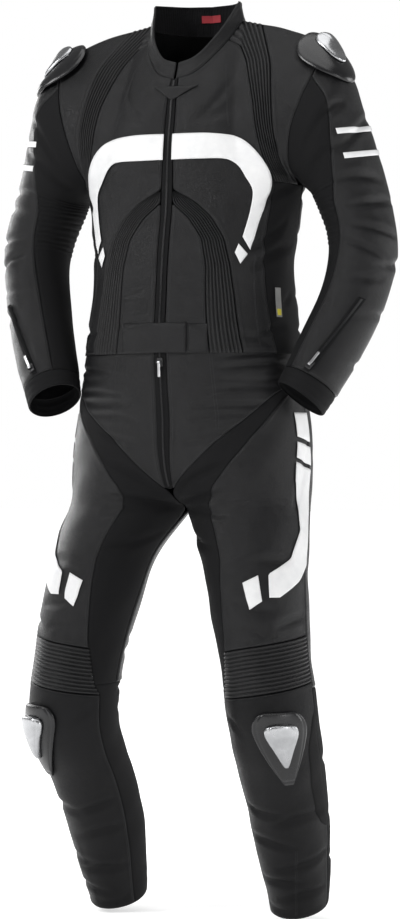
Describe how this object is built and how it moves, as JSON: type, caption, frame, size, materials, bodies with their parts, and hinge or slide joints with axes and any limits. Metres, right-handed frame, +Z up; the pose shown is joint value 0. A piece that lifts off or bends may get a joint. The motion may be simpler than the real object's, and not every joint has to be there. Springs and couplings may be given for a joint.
{
  "type": "motorcycle race suit",
  "caption": "Two-piece leather motorcycle race suit, filled out as worn, with stretch and ribbed panels, moulded shoulder and knee guards, belt strap and zips",
  "frame": {"origin": "midway between the shoulders at the height of the neck's base, where the wearer's shoulders hold the suit", "axes": "+Z up towards the collar, -Y the front of the suit, +X the wearer's left"},
  "size_m": [0.696, 0.3096, 1.5049],
  "materials": {
    "leather": "satin black cowhide",
    "stretch": "matt black stretch fabric and ribbed leather",
    "white_leather": "smooth white leather",
    "mesh": "black mesh lining",
    "label": "woven label, plain",
    "moulding": "glossy black moulding",
    "silver_plate": "brushed silver plate",
    "zip_tape": "black zip tape and coil",
    "zip_metal": "gunmetal zip pull"
  },
  "bodies": {
    "suit": {"main_zip": "zip_tape", "centre_front_left": "leather", "centre_front_right": "leather", "stomach_ribs_left": "stretch", "stomach_ribs_right": "stretch", "front_left": "leather", "front_right": "leather", "shoulder_ribs_left": "stretch", "shoulder_ribs_right": "stretch", "yoke_left": "leather", "yoke_right": "leather", "side_left": "stretch", "side_right": "stretch", "back": "leather", "collar": "leather", "neck_lining": "mesh", "neck_label": "label", "chest_arch_left": "white_leather", "chest_arch_right": "white_leather", "zip_flap": "leather", "belt_strap": "leather", "belt_tab": "leather", "side_label": "label", "sleeve_inner_left": "stretch", "sleeve_inner_right": "stretch", "sleeve_outer_left": "leather", "sleeve_outer_right": "leather", "cuff_left": "stretch", "cuff_right": "stretch", "trouser_front_left": "leather", "trouser_front_right": "leather", "crotch_stretch_left": "stretch", "crotch_stretch_right": "stretch", "thigh_left": "leather", "thigh_right": "leather", "seat_left": "leather", "seat_right": "leather", "leg_band_left": "white_leather", "leg_band_right": "white_leather", "knee_ribs_left": "stretch", "knee_ribs_right": "stretch", "shin_left": "leather", "shin_right": "leather", "calf_left": "stretch", "calf_right": "stretch", "knee_cup_left": "moulding", "knee_cup_right": "moulding", "knee_slider_left": "silver_plate", "knee_slider_right": "silver_plate", "shoulder_cup_left": "moulding", "shoulder_cup_right": "moulding", "shoulder_plate_left": "silver_plate", "shoulder_plate_right": "silver_plate", "cuff_zip_left": "zip_tape", "cuff_zip_right": "zip_tape", "fly_zip": "zip_tape"},
    "cuff_tab_left": {"cuff_pull_left": "zip_metal"},
    "cuff_tab_right": {"cuff_pull_right": "zip_metal"},
    "fly_tab": {"fly_pull": "zip_metal"}
  },
  "joints": [
    {"name": "cuff_pull_left_swing", "type": "hinge", "parent": "suit", "child": "cuff_tab_left", "pos_m": [0.24911, -0.1161, -0.52385], "axis": [0.8226, 0.0174, -0.5683], "range_deg": [0, 150]},
    {"name": "cuff_pull_right_swing", "type": "hinge", "parent": "suit", "child": "cuff_tab_right", "pos_m": [-0.24911, -0.1161, -0.52385], "axis": [0.8226, -0.0174, 0.5683], "range_deg": [0, 150]},
    {"name": "fly_pull_swing", "type": "hinge", "parent": "suit", "child": "fly_tab", "pos_m": [0, -0.14745, -0.51927], "axis": [-1, 0, 0], "range_deg": [0, 150]}
  ]
}
